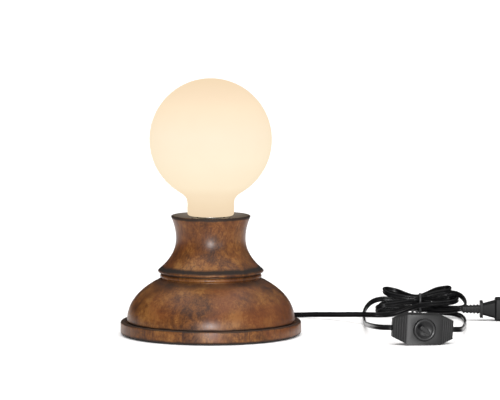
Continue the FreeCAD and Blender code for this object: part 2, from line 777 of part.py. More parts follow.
def cord_way():
    return rod(cord_hole_diameter, (-dimmer_length, 0, 0), (dimmer_length, 0, 0))


def case_post(side, y0, y1, diameter=case_post_diameter):
    """Round post or hole at one of the two case screws."""
    x, z = side * case_screw_offset[0], side * case_screw_offset[1]
    return rod(diameter, (x, y0, z), (x, y1, z))


def dimmer_front_shell():
    """Front shell with the knob's recess, two screw posts and grip grooves across its tapers."""
    solid = case_shell(True)
    for side in (-1, 1):
        solid = solid.fuse(case_post(side, dimmer_wall / 2 - dimmer_front, 0))
    solid = solid.removeSplitter()
    solid = solid.cut(rod(knob_diameter + 2 * knob_clearance, (0, -knob_floor, 0), (0, -2 * dimmer_front, 0)))
    solid = solid.cut(rod(shaft_diameter + 2 * knob_clearance, (0, 0, 0), (0, -dimmer_front, 0)))
    solid = solid.cut(cord_way())
    run = (dimmer_length - dimmer_face_length) / 2
    drop = dimmer_front - dimmer_end_depth
    for side in (-1, 1):
        for k in range(grip_count):
            along = (k + 1) / (grip_count + 1)
            depth = dimmer_front - drop * along - grip_depth
            groove = block(-grip_width / 2, grip_width / 2, -2 * dimmer_front, -depth,
                           -dimmer_height, dimmer_height)
            groove.translate(Vector(side * (dimmer_face_length / 2 + run * along), 0, 0))
            solid = solid.cut(groove)
        solid = solid.cut(case_post(side, case_screw_tip - glue_gap, 1, case_screw_diameter))
    return solid


def dimmer_back_shell():
    solid = case_shell(False).cut(cord_way())
    for side in (-1, 1):
        solid = solid.fuse(case_post(side, 0, dimmer_back - dimmer_wall / 2))
    solid = solid.removeSplitter()
    for side in (-1, 1):
        solid = solid.cut(case_screw(side, thread_clearance))
    return solid


def case_screw(side, grow=0.0):
    """Screw from the back, through one shell's post into the other's."""
    shank_diameter = case_screw_diameter + 2 * (grow - thread_clearance)
    shank = case_post(side, case_screw_tip, dimmer_back - case_screw_head, shank_diameter)
    head = case_post(side, dimmer_back - case_screw_head, dimmer_back, case_screw_head_diameter + 2 * grow)
    return shank.fuse(head).removeSplitter()


def knob_disc():
    """Round knob: a disc with a rounded edge and a dished face that leaves a raised bar to grip."""
    r = knob_diameter / 2
    low = knob_floor + 0.3
    high = knob_floor + knob_height
    dish = knob_dish_diameter / 2
    disc = turned(
        (0, low), [(r, low)], [(r, high - 1.2)], [(r - 0.4, high - 0.35), (r - 1.3, high)], [(dish, high)],
        [(dish * 0.6, high - knob_dish * 0.9), (0, high - knob_dish)],
    )
    length, width = grip_bar_length / 2, grip_bar_width / 2
    bar = block(-length, length, -width, width, high - knob_dish - 0.8, high + grip_bar_proud)
    uprights = [edge for edge in bar.Edges if abs(edge.tangentAt(edge.FirstParameter).z) > 0.9]
    bar = bar.makeFillet(width * 0.9, uprights)
    tops = [edge for edge in bar.Edges if edge.BoundBox.ZMin > high + grip_bar_proud - 0.1]
    bar = bar.makeFillet(0.5, tops)
    bar.rotate(ORIGIN, UP, grip_bar_angle)
    knob = disc.fuse(bar).removeSplitter().cut(cylinder(shaft_diameter, 0, shaft_top))
    knob.rotate(ORIGIN, Vector(1, 0, 0), 90)
    return knob


def pot_body():
    body = rod(pot_diameter, (0, pot_back, 0), (0, -pot_front, 0))
    neck = rod(pot_neck_diameter, (0, -pot_front, 0), (0, -pot_front - pot_neck_height, 0))
    bore = rod(shaft_diameter + 2 * shaft_play, (0, -pot_front + shaft_seat, 0), (0, -dimmer_front, 0))
    return body.fuse(neck).removeSplitter().cut(bore)


def board_piece(size, x, z):
    width, depth, tall = size
    return block(x - width / 2, x + width / 2, pot_back - depth, pot_back, z - tall / 2, z + tall / 2)


def circuit_board():
    """Board with notches for the two screw posts."""
    half, rise = board_length / 2, board_height / 2
    solid = block(-half, half, pot_back, board_behind_seam, -rise, rise)
    for side in (-1, 1):
        solid = solid.cut(case_post(side, -dimmer_front, dimmer_back, case_post_diameter + 2 * glue_gap))
    return solid


def board_core(side, row):
    """One core of the cord, from the dimmer's end to the board."""
    y = pot_back - lead_diameter / 2
    z = row * (lead_diameter / 2 + glue_gap)
    return rod(lead_diameter, (side * (board_length / 2 - 1.5), y, z),
               (side * (dimmer_length / 2 - 3.0), y, z))


shaft = rod(shaft_diameter, (0, -pot_front + shaft_seat - glue_gap, 0), (0, -shaft_top, 0))
triac_x = -pot_diameter / 2 - triac_size[0] / 2 - 1.5
capacitor_x = pot_diameter / 2 + capacitor_size[0] / 2 + 2.0

export("dimmer_front_shell", in_place(dimmer_front_shell()))
export("dimmer_back_shell", in_place(dimmer_back_shell()))
export("dimmer_screws", *[in_place(case_screw(side)) for side in (-1, 1)])
export("dimmer_board", in_place(circuit_board()))
export("potentiometer", in_place(pot_body()))
export("triac", in_place(board_piece(triac_size, triac_x, -component_drop)))
export("capacitor", in_place(board_piece(capacitor_size, capacitor_x, -component_drop)))
export("board_cores", *[in_place(board_core(side, row)) for side in (-1, 1) for row in (-1, 1)])
export("dimmer_knob", in_place(knob_disc()))
export("knob_shaft", in_place(shaft))


# ---------------------------------------------------------------- plug, lying along X
def plug_section(x, size, corner=plug_corner):
    """Rounded rectangle across the plug's axis: its height along Z and its width along Y."""
    y0, z0 = plug_axis
    h, w = size[0] / 2, size[1] / 2
    c = min(corner, 0.45 * h, 0.45 * w)
    d = c * (1 - math.sqrt(0.5))
    points = []
    for sy, sz in ((1, 1), (-1, 1), (-1, -1), (1, -1)):
        a = Vector(x, y0 + sy * w, z0 + sz * (h - c))
        m = Vector(x, y0 + sy * (w - d), z0 + sz * (h - d))
        b = Vector(x, y0 + sy * (w - c), z0 + sz * h)
        points.append((a, m, b) if sy * sz > 0 else (b, m, a))
    edges = []
    for k, (a, m, b) in enumerate(points):
        edges.append(Part.Arc(a, m, b).toShape())
        edges.append(Part.LineSegment(b, points[(k + 1) % 4][0]).toShape())
    return Part.Wire(edges)


def plug_loft(*sections):
    return Part.makeLoft([plug_section(x, size) for x, size in sections], True, True)


def grown(size, by):
    return (size[0] + 2 * by, size[1] + 2 * by)


def plug_body():
    """Moulded in one: ribbed strain relief, finger guard, flared neck and thick face."""
    body = plug_loft((plug_start, relief_end_size), (relief_end, relief_size))
    pitch = (relief_length - rib_width) / (rib_count - 0.5)
    for k in range(rib_count):
        x = plug_start + 0.3 * rib_width + k * pitch
        share = k / (rib_count - 1)
        core = [a + (b - a) * share for a, b in zip(relief_end_size, relief_size)]
        body = body.fuse(plug_loft((x, grown(core, rib_proud)), (x + rib_width, grown(core, rib_proud))))
    body = body.fuse(plug_loft((relief_end, fin_size), (neck_start, fin_size)))
    body = body.fuse(plug_loft((neck_start, plug_neck_size), (neck_end, plug_shoulder_size)))
    bevelled = grown(plug_face_size, -plug_face_bevel)
    body = body.fuse(plug_loft((neck_end, bevelled), (neck_end + plug_face_bevel, plug_face_size),
                               (plug_face - plug_face_bevel, plug_face_size), (plug_face, bevelled)))
    body = body.removeSplitter()
    for side, width in ((1, narrow_blade), (-1, wide_blade)):
        body = body.cut(blade_blank(side, width))
    return body


def blade_blank(side, width):
    y0, z0 = plug_axis
    z = z0 + side * blade_spacing / 2
    return block(plug_face - blade_seat, plug_face + blade_length, y0 - width / 2, y0 + width / 2,
                 z - blade_thickness / 2, z + blade_thickness / 2)


def plug_blade(side, width):
    """Flat blade with bevelled tip corners and the small hole that real blades have."""
    y0, z0 = plug_axis
    z = z0 + side * blade_spacing / 2
    tip = plug_face + blade_length
    blade = blade_blank(side, width)
    corners = [edge for edge in blade.Edges
               if edge.BoundBox.XMin > tip - 0.1 and abs(edge.tangentAt(edge.FirstParameter).z) > 0.9]
    blade = blade.makeChamfer(1.4, corners)
    hole = cylinder(blade_hole_diameter, z - blade_thickness, z + blade_thickness,
                    tip - blade_hole_from_tip, y0)
    return blade.cut(hole)


export("plug_body", plug_body())
export("narrow_blade", plug_blade(1, narrow_blade))
export("wide_blade", plug_blade(-1, wide_blade))


# ---------------------------------------------------------------- free cord
def dimmer_end(side):
    """Middle of one end face of the dimmer, where the cord goes in."""
    point = in_place(Part.Vertex(Vector(side * dimmer_length / 2, 0, 0)))
    return tuple(point.Vertexes[0].Point)


def hank_section(x, height, width, centre):
    """Closed smooth outline across the hank, an ellipse drawn through evenly turned points."""
    points = []
    for k in range(12):
        turn = math.radians(30 * k)
        points.append(Vector(x, hank_y + width / 2 * math.cos(turn), centre + height / 2 * math.sin(turn)))
    outline = Part.BSplineCurve()
    outline.interpolate(points, PeriodicFlag=True)
    return Part.Wire(outline.toShape())


def cord_tie():
    """Twist tie round the hank's middle."""
    x, height, width, centre = hank_sections[len(hank_sections) // 2]
    start = x - tie_width / 2
    push = Vector(tie_width, 0, 0)
    outer = hank_section(start, height + 2 * tie_thickness, width + 2 * tie_thickness, centre)
    inner = hank_section(start, height, width, centre)
    return Part.Face(outer).extrude(push).cut(Part.Face(inner).extrude(push))


lamp_lead = [(0, bushing_outer_end, bushing_height)] + lamp_lead_route
left_leg = [dimmer_end(-1)] + left_leg_route
right_leg = [dimmer_end(1)] + right_leg_route
plug_tail = plug_tail_route + [(plug_start, plug_axis[0], plug_axis[1])]
for name, route in (("lamp_lead", lamp_lead), ("left_leg", left_leg), ("right_leg", right_leg),
                    ("plug_tail", plug_tail)):
    export(name, round_tube(name, route, cord_diameter))
export("cord_hank", Part.makeLoft([hank_section(*section) for section in hank_sections], True, True))
export("cord_tie", cord_tie())
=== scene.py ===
import bmesh
import bpy
import math
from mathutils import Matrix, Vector


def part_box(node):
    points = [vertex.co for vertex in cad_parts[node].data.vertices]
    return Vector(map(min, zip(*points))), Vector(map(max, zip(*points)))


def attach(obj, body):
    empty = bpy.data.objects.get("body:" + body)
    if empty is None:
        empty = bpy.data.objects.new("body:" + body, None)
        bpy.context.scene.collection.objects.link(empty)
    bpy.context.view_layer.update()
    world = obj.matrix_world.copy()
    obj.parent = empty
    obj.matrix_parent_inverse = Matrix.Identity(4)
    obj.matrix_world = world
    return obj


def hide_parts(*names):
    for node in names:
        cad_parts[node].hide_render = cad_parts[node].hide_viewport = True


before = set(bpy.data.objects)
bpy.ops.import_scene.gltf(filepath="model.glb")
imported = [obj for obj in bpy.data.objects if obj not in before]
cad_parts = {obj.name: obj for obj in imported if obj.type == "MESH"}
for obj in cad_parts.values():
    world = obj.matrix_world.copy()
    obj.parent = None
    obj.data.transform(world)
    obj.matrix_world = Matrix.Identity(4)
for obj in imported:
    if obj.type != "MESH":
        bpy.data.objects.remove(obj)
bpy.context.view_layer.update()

# ---------------------------------------------------------------- studio
# A white floor under even studio light, seen from the front and a little above with a long lens. The floor is
# bright enough to lose most shadow, and the light comes from above and in front, so turned edges fall darker.


class Look:
    """A procedural finish: node() adds a shader node with its settings, and sets or wires its inputs."""

    def __init__(self, name, **shader):
        self.material = bpy.data.materials.new(name)
        self.material.use_nodes = True
        self.tree = self.material.node_tree
        self.tree.nodes.clear()
        self.shader = self.node("ShaderNodeBsdfPrincipled", {})
        self.set(**shader)
        self.node("ShaderNodeOutputMaterial", {"Surface": self.shader.outputs[0]})
        self.place = self.node("ShaderNodeTexCoord", {}).outputs["Object"]

    def node(self, kind, inputs, **settings):
        made = self.tree.nodes.new(kind)
        for key, value in settings.items():
            setattr(made, key, value)
        for key, value in inputs.items():
            self.feed(made.inputs[key], value)
        return made

    def feed(self, socket, value):
        if isinstance(value, bpy.types.NodeSocket):
            self.tree.links.new(value, socket)
        elif isinstance(value, tuple) and socket.type == "RGBA":
            socket.default_value = value + (1.0,) * (4 - len(value))
        else:
            socket.default_value = value

    def set(self, **inputs):
        """Sets or wires the shader's inputs: base_color stands for Base Color, and so on."""
        names = {s.name.lower().replace(" ", "_"): s for s in self.shader.inputs}
        for key, value in inputs.items():
            self.feed(names[key], value)

    def noise(self, scale, detail=2.0, roughness=0.5, stretch=(1, 1, 1), distortion=0.0):
        """Noise on the object's own coordinates; scale is in waves per metre."""
        place = self.node("ShaderNodeMapping", {"Vector": self.place, "Scale": stretch}).outputs[0]
        return self.node("ShaderNodeTexNoise", {"Vector": place, "Scale": scale, "Detail": detail,
                                                "Roughness": roughness, "Distortion": distortion}).outputs[0]

    def ramp(self, value, *stops):
        """Colour ramp through (position, colour) stops; a colour may be one number."""
        made = self.node("ShaderNodeValToRGB", {0: value})
        elements = made.color_ramp.elements
        while len(elements) < len(stops):
            elements.new(0.5)
        for element, (position, colour) in zip(elements, stops):
            element.position = position
            element.color = (colour if isinstance(colour, tuple) else (colour,) * 3) + (1.0,)
        return made.outputs[0]

    def mix(self, share, a, b):
        made = self.node("ShaderNodeMix", {}, data_type="RGBA")
        for index, value in ((0, share), (6, a), (7, b)):
            self.feed(made.inputs[index], value)
        return made.outputs[2]

    def math(self, operation, a, b=0.0, c=0.0):
        return self.node("ShaderNodeMath", {0: a, 1: b, 2: c}, operation=operation).outputs[0]

    def bump(self, height, distance, strength=1.0, under=None):
        made = self.node("ShaderNodeBump", {"Height": height, "Distance": distance, "Strength": strength})
        if under is not None:
            self.feed(made.inputs["Normal"], under)
        return made.outputs[0]


def linked(name, data):
    made = bpy.data.objects.new(name, data)
    bpy.context.scene.collection.objects.link(made)
    return made


floor_look = Look("white_floor", base_color=(0.93, 0.925, 0.928), roughness=0.9, specular_ior_level=0.1)
floor_mesh = bpy.data.meshes.new("floor")
floor_side, floor_front, floor_back = 4, -6, 14
floor_mesh.from_pydata([(-floor_side, floor_front, 0), (floor_side, floor_front, 0),
                        (floor_side, floor_back, 0), (-floor_side, floor_back, 0)], [], [(0, 1, 2, 3)])
floor_mesh.materials.append(floor_look.material)
linked("floor", floor_mesh)

brightest = (0.30, -0.35, 0.887)         # up, a little to the front and to the right
dark_cosine, light_cosine = -0.10, 0.80  # turned this far from the brightest way, the sky is darkest and lightest
dark_sky, light_sky = 0.07, 0.75
world = bpy.data.worlds.new("studio")
world.use_nodes = True
sky = world.node_tree.nodes
sky_links = world.node_tree.links
direction = sky.new("ShaderNodeTexCoord")
towards = sky.new("ShaderNodeVectorMath")
towards.operation = "DOT_PRODUCT"
towards.inputs[1].default_value = brightest
fall = sky.new("ShaderNodeMapRange")
fall.interpolation_type = "SMOOTHSTEP"
for index, value in enumerate((dark_cosine, light_cosine, dark_sky, light_sky), 1):
    fall.inputs[index].default_value = value
sky_links.new(direction.outputs["Generated"], towards.inputs[0])
sky_links.new(towards.outputs["Value"], fall.inputs[0])
sky_links.new(fall.outputs[0], sky["Background"].inputs[1])
sky["Background"].inputs[0].default_value = (1.0, 0.985, 0.975, 1.0)
bpy.context.scene.world = world
bpy.context.scene.view_settings.view_transform = "Standard"


def studio_light(name, kind, location, aim, energy, **settings):
    light = bpy.data.lights.new(name, kind)
    light.energy = energy
    for key, value in settings.items():
        setattr(light, key, value)
    made = linked(name, light)
    made.location = location
    made.rotation_euler = (Vector(aim) - Vector(location)).to_track_quat("-Z", "Y").to_euler()


studio_light("overhead", "SUN", (0, -0.6, 5), (0.0, 0.3, 0), 2.7, angle=math.radians(80))
studio_light("front_box", "AREA", (-0.02, -4.6, 0.40), (0.04, 0, 0.08), 265, shape="RECTANGLE",
             size=0.5, size_y=0.6)
studio_light("right_box", "AREA", (1.7, -2.9, 0.45), (0.2, 0, 0.05), 20, shape="RECTANGLE",
             size=0.8, size_y=0.8)

camera_tilt = 5.48                       # degrees below level
camera_data = bpy.data.cameras.new("camera")
camera_data.lens = 278.8
camera_data.sensor_width = 36
camera_data.clip_end = 60
camera = linked("camera", camera_data)
camera.location = (0.0407, -4.0, 0.524)
camera.rotation_euler = (math.radians(90 - camera_tilt), 0, 0)
bpy.context.scene.camera = camera


# ---------------------------------------------------------------- turned base
# Neck, dome and plinth are turned from a burl-figured wood, stained brown, with a dark glaze left in the
# grooves, and finished with a satin lacquer. The dark bands also carry painted shade: under the flange, in the
# grooves, at the rim beside the bulb and under the plinth's lower edge. The mouth round the bulb is painted
# greyer, a painted reflection of the bulb and the white room.
weld = 0.000005
sliver = 0.000001
flat_enough = math.radians(1.0)
burl_tones = ((0.38, (0.022, 0.0075, 0.003)), (0.45, (0.052, 0.018, 0.0045)), (0.52, (0.090, 0.032, 0.0072)),
              (0.60, (0.145, 0.062, 0.016)))
red_stain = (0.088, 0.024, 0.008)
dark_streak = (0.024, 0.009, 0.005)
# colour of the bands: dark glaze, and painted shade under the flange, in the grooves and at the edges
glaze_and_painted_shade_colour = (0.006, 0.004, 0.003)
band_waver = 0.0022                     # how far the edges of the bands of glaze and painted shade wander up and down
# painted reflection: grey laid on the inside of the mouth for the bulb and the white room mirrored there
painted_reflection_grey = (0.17, 0.155, 0.142)
mouth_floor = 0.1132
mouth_slope = 0.26                       # how far the mouth's wall leans out for each metre up
mouth_wall = 0.0066                      # its radius, carried down that slope to the table
lathe_lines = 5200.0                     # faint rings left by the tool, in radians a metre
# Bands of dark glaze and painted shade: painted shadow under the flange, painted shade in the grooves, at the rim
# beside the bulb and under the plinth's lower edge
neck_bands = ((0.0686, 0.0708, 0.0022, 0.95), (0.0640, 0.0653, 0.0006, 0.75), (0.1222, 0.1240, 0.0014, 0.92))
dome_bands = ((0.0120, 0.0146, 0.0014, 0.92), (0.0560, 0.0582, 0.0030, 0.5))
plinth_bands = ((0.0136, 0.0160, 0.0008, 0.8), (0.0000, 0.0024, 0.0016, 0.8))


def piece(name, mesh, look, body, material_slot, *nodes):
    """Links a mesh as a piece of the lamp that rides on a body and stands for CAD nodes."""
    made = linked(name, mesh)
    mesh.materials.clear()
    mesh.materials.append(look.material)
    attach(made, body)
    if nodes:
        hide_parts(*nodes)
    return made


def settled(maker):
    """Plain mesh of an object with its modifiers worked in; the object itself is removed."""
    mesh = bpy.data.meshes.new_from_object(maker.evaluated_get(bpy.context.evaluated_depsgraph_get()))
    bpy.data.objects.remove(maker)
    return mesh


def refined(node, angle=32.0, bevel=0.0):
    """Merged, smooth-shaded copy of a CAD node's mesh, its sharp edges rounded by bevel."""
    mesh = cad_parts[node].data.copy()
    work = bmesh.new()
    work.from_mesh(mesh)
    bmesh.ops.remove_doubles(work, verts=work.verts, dist=weld)
    bmesh.ops.dissolve_degenerate(work, edges=work.edges, dist=sliver)
    sharp = math.radians(angle)
    if bevel:
        bmesh.ops.dissolve_limit(work, angle_limit=flat_enough, verts=work.verts, edges=work.edges)
    for face in work.faces:
        face.smooth = True
    for edge in work.edges:
        edge.smooth = len(edge.link_faces) == 2 and edge.calc_face_angle(0.0) < sharp
    work.to_mesh(mesh)
    work.free()
    if not bevel:
        return mesh
    maker = linked(node + "_maker", mesh)
    modifier = maker.modifiers.new("edges", "BEVEL")
    modifier.width, modifier.segments, modifier.limit_method = bevel, 2, "ANGLE"
    modifier.angle_limit = sharp
    modifier.use_clamp_overlap = True
    return settled(maker)


def between(look, value, low, high, soft):
    """One where value lies between low and high, falling to zero over soft outside them."""
    rise = look.node("ShaderNodeMapRange", {0: value, 1: low - soft, 2: low}, clamp=True).outputs[0]
    drop = look.node("ShaderNodeMapRange", {0: value, 1: high + soft, 2: high}, clamp=True).outputs[0]
    return look.math("MULTIPLY", rise, drop)


def wood_look(name, streaks, glaze_and_shade_bands, mouth=False):
    """Burl-figured wood, with dark glaze and painted shade in bands that each give a low and high edge, a softness
    and a strength.
    """
    look = Look(name, specular_ior_level=0.2)
    patches = look.noise(26, 2, 0.5, distortion=0.6)
    clouds = look.noise(70, 3, 0.55, stretch=(1, 1, 0.8), distortion=1.2)
    figure = look.noise(290, 4, 0.62, stretch=(1, 1, 0.7), distortion=1.5)
    streak = look.noise(330, 3, 0.6, stretch=(1, 1, 0.16))
    tone = look.math("MULTIPLY_ADD", patches, 0.36, look.math("MULTIPLY", clouds, 0.30))
    tone = look.math("MULTIPLY_ADD", figure, 0.34, tone)
    colour = look.ramp(tone, *burl_tones)
    red = look.ramp(look.noise(19, 2, distortion=0.5), (0.46, 0.0), (0.64, 0.5))
    colour = look.mix(red, colour, red_stain)
    colour = look.mix(look.ramp(streak, (0.52, 0.0), (0.72, streaks)), colour, dark_streak)
    axes = look.node("ShaderNodeSeparateXYZ", {0: look.place}).outputs
    uneven = look.math("MULTIPLY_ADD", look.noise(60, 2), band_waver,
                       look.math("ADD", axes[2], -band_waver / 2))
    glaze_and_shade_mask = 0.0
    for low, high, soft, strength in glaze_and_shade_bands:
        band = look.math("MULTIPLY", between(look, uneven, low, high, soft), strength)
        glaze_and_shade_mask = look.math("MAXIMUM", glaze_and_shade_mask, band)
    # painted shade with dark glaze: the bands darken the wood under the flange, in the grooves and at the edges
    colour = look.mix(glaze_and_shade_mask, colour, glaze_and_painted_shade_colour)
    if mouth:
        flat = look.node("ShaderNodeVectorMath", {0: look.place, 1: (1, 1, 0)}, operation="MULTIPLY").outputs[0]
        radius = look.node("ShaderNodeVectorMath", {0: flat}, operation="LENGTH").outputs["Value"]
        dish = look.math("MULTIPLY_ADD", axes[2], -mouth_slope, radius)
        inside = look.math("MULTIPLY", between(look, dish, -1.0, mouth_wall, 0.0006),
                           between(look, axes[2], mouth_floor, 0.2, 0.0008))
        # painted reflection of the bulb and the room, greying the inside of the mouth
        colour = look.mix(look.math("MULTIPLY", inside, 0.9), colour, painted_reflection_grey)
    satin = look.ramp(figure, (0.3, 0.31), (0.7, 0.40))
    look.set(base_color=colour, roughness=look.math("MULTIPLY_ADD", glaze_and_shade_mask, 0.35, satin))
    lines = look.math("SINE", look.math("MULTIPLY", axes[2], lathe_lines))
    look.set(normal=look.bump(figure, 0.0002, 0.22, look.bump(lines, 0.00002, 0.1)))
    return look


for node, streaks, bands in (("turned_neck", 0.7, neck_bands), ("turned_dome", 0.35, dome_bands),
                             ("base_plinth", 0.85, plinth_bands)):
    piece(node + "_wood", refined(node), wood_look(node + "_stain", streaks, bands, node == "turned_neck"),
          "lamp", "wood", node)


# ---------------------------------------------------------------- pad and base screws
# A black rubber pad covers the plinth's underside, and over it three countersunk steel wood screws hold the
# plinth to the dome. The screws are placed by a node tree: heads with a cross recess, shanks and ridged threads.
recess_long, recess_wide, recess_deep = 0.0052, 0.0009, 0.0024
head_depth = 0.002
head_height = 0.0015                     # of the heads' undersides above the table
tip_radius = 0.0004
ridge_low, ridge_high, ridge_depth = 0.0012, 0.00195, 0.0008
first_ridge, ridge_step = 0.0075, 0.0011


def dress(look, *nodes):
    """Gives CAD nodes that keep their own shape a finish."""
    for node in nodes:
        for material_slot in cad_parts[node].material_slots:
            material_slot.link = "OBJECT"
            material_slot.material = look.material


class Grower:
    """A Geometry Nodes tree with named inputs for its sizes."""

    def __init__(self, name, **sizes):
        self.tree = bpy.data.node_groups.new(name, "GeometryNodeTree")
        self.tree.interface.new_socket(name="Mesh", in_out="OUTPUT", socket_type="NodeSocketGeometry")
        self.sizes = sizes
        self.keys = {}
        for key, value in sizes.items():
            kind = "NodeSocketInt" if isinstance(value, int) else "NodeSocketFloat"
            self.keys[key] = self.tree.interface.new_socket(name=key, in_out="INPUT", socket_type=kind).identifier
        self.given = self.tree.nodes.new("NodeGroupInput").outputs

    def add(self, kind, inputs, **settings):
        made = self.tree.nodes.new(kind)
        for key, value in settings.items():
            setattr(made, key, value)
        for key, value in inputs.items():
            for one in value if isinstance(value, list) else [value]:
                if isinstance(one, bpy.types.NodeSocket):
                    self.tree.links.new(one, made.inputs[key])
                else:
                    made.inputs[key].default_value = one
        return made.outputs[0]

    def mesh(self, result, look):
        """Realizes the tree's result, sets its finish and returns it as a plain mesh."""
        real = self.add("GeometryNodeRealizeInstances", {"Geometry": result})
        real = self.add("GeometryNodeSetMaterial", {"Geometry": real, "Material": look.material})
        self.tree.links.new(real, self.tree.nodes.new("NodeGroupOutput").inputs[0])
        maker = linked(self.tree.name + "_maker", bpy.data.meshes.new(self.tree.name))
        modifier = maker.modifiers.new("grow", "NODES")
        modifier.node_group = self.tree
        for key, value in self.sizes.items():
            modifier[self.keys[key]] = value
        return settled(maker)


def metal_look(name, colour, roughness, grain=900):
    """Metal with fine brushed lines round the upright axis."""
    look = Look(name, metallic=1.0)
    brushed = look.noise(grain, 3, 0.6, stretch=(1, 1, 0.12))
    look.set(base_color=look.ramp(brushed, (0.3, tuple(c * 0.8 for c in colour)), (0.7, colour)),
             roughness=look.ramp(brushed, (0.3, roughness), (0.7, roughness + 0.12)),
             normal=look.bump(brushed, 0.00003, 0.3))
    return look


def plastic_look(name, colour, roughness, texture, specular=0.3, lift=1.5):
    """Moulded plastic: a fine spark texture of a given depth, and colour that varies a little with it."""
    look = Look(name, specular_ior_level=specular)
    spark = look.noise(2600, 3, 0.7)
    worn = look.noise(70, 3, 0.6)
    look.set(base_color=look.ramp(worn, (0.3, colour), (0.75, tuple(min(1.0, c * lift) for c in colour))),
             roughness=look.ramp(spark, (0.35, roughness), (0.65, roughness + 0.14)),
             normal=look.bump(spark, texture, 0.6))
    return look


pad_look = plastic_look("rubber_pad", (0.012, 0.012, 0.012), 0.72, 0.00006)
steel_look = metal_look("zinc_steel", (0.56, 0.56, 0.55), 0.3)
dress(pad_look, "base_pad")
screws = Grower("wood_screws", Ring=0.064, Count=3, Head=0.004, Shank=0.002, Length=0.026, Ridges=12)
size = screws.given
head = screws.add("GeometryNodeMeshCone", {"Radius Top": size["Shank"], "Radius Bottom": size["Head"],
                                           "Depth": head_depth, "Vertices": 40})
for arm in ((recess_long, recess_wide, recess_deep), (recess_wide, recess_long, recess_deep)):
    cross = screws.add("GeometryNodeMeshCube", {"Size": arm})
    head = screws.add("GeometryNodeMeshBoolean", {"Mesh 1": head, "Mesh 2": cross}, operation="DIFFERENCE")
shank = screws.add("GeometryNodeMeshCone", {"Radius Top": tip_radius, "Radius Bottom": size["Shank"],
                                            "Depth": size["Length"], "Vertices": 24})
ridge = screws.add("GeometryNodeMeshCone", {"Radius Top": ridge_low, "Radius Bottom": ridge_high,
                                            "Depth": ridge_depth, "Vertices": 24})
rungs = screws.add("GeometryNodeMeshLine", {"Count": size["Ridges"], "Start Location": (0, 0, first_ridge),
                                            "Offset": (0, 0, ridge_step)})
ridges = screws.add("GeometryNodeInstanceOnPoints", {"Points": rungs, "Instance": ridge})
one = screws.add("GeometryNodeJoinGeometry", {"Geometry": [head, shank, ridges]})
spots = screws.add("GeometryNodeMeshCircle", {"Vertices": size["Count"], "Radius": size["Ring"]})
spots = screws.add("GeometryNodeTransform", {"Geometry": spots, "Translation": (0, 0, head_height),
                                             "Rotation": (0, 0, math.radians(30))})
placed = screws.add("GeometryNodeInstanceOnPoints", {"Points": spots, "Instance": one})
piece("plinth_screws", screws.mesh(placed, steel_look), steel_look, "lamp", "steel", "base_screws")


# ---------------------------------------------------------------- tube, nuts and washers
# Plated steel: a threaded tube clamps the dome and the neck between two nuts with washers, and carries the
# socket at its top. The cord comes up through it.
tube_thread = 6283.0                     # radians a metre: a pitch of 1 mm

dress(steel_look, "bottom_washer", "bottom_nut", "seat_washer", "seat_nut")
tube_look = metal_look("threaded_steel", (0.5, 0.5, 0.49), 0.34)
tube_height = tube_look.node("ShaderNodeSeparateXYZ", {0: tube_look.place}).outputs[2]
tube_look.set(normal=tube_look.bump(tube_look.math("SINE", tube_look.math("MULTIPLY", tube_height, tube_thread)),
                                    0.0003, 0.8))
dress(tube_look, "threaded_tube")


# ---------------------------------------------------------------- screw socket
# Black moulded phenolic case and block, with a brass shell rolled to the bulb's thread, brass terminals and a
# folded contact leaf.
thread_pitch = 0.0036286
thread_depth = 0.0005
thread_wall = 0.0004
thread_rise = 0.0003                     # height of one row of faces
shell_radius = 0.01385
shell_plain = 0.003                      # height over which the thread runs out at each end


def skin(name, rings, ends=()):
    """Smooth mesh over rings of points, joined last to first, or closed by a point at each end."""
    work = bmesh.new()
    rings = [[work.verts.new(point) for point in ring] for ring in rings]
    count = len(rings[0])
    for a, b in zip(rings, rings[1:] + ([] if ends else rings[:1])):
        for k in range(count):
            work.faces.new((a[k], a[(k + 1) % count], b[(k + 1) % count], b[k]))
    for end, ring in zip(ends, (rings[0][::-1], rings[-1])):
        pole = work.verts.new(end)
        for k in range(count):
            work.faces.new((ring[k], ring[(k + 1) % count], pole))
    bmesh.ops.recalc_face_normals(work, faces=work.faces)
    for face in work.faces:
        face.smooth = True
    mesh = bpy.data.meshes.new(name)
    work.to_mesh(mesh)
    work.free()
    return mesh


def rolled_thread(name, low, high, mean, plain):
    """Thin shell with a right-handed thread rolled into it, plain for a short way at both ends."""
    around = 72
    steps = round((high - low) / thread_rise)

    def ring(z, extra):
        ease = max(0.0, min(1.0, (z - low) / plain, (high - z) / plain))
        points = []
        for k in range(around):
            turn = 2 * math.pi * k / around
            radius = mean + extra + thread_depth * ease * math.sin(2 * math.pi * z / thread_pitch - turn)
            points.append((radius * math.cos(turn), radius * math.sin(turn), z))
        return points

    levels = [low + (high - low) * k / steps for k in range(steps + 1)]
    return skin(name, [ring(z, 0.0) for z in levels] + [ring(z, -thread_wall) for z in reversed(levels)])


phenolic_look = plastic_look("black_phenolic", (0.014, 0.013, 0.012), 0.22, 0.00001, 0.5)
brass_look = metal_look("plain_brass", (0.72, 0.55, 0.27), 0.26)
dress(phenolic_look, "socket_cup", "socket_sleeve", "socket_block")
dress(brass_look, "terminal_screws", "centre_contact")
shell_low, shell_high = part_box("screw_shell")
piece("threaded_shell", rolled_thread("shell", shell_low.z, shell_high.z, shell_radius, shell_plain),
      brass_look, "lamp", "brass", "screw_shell")


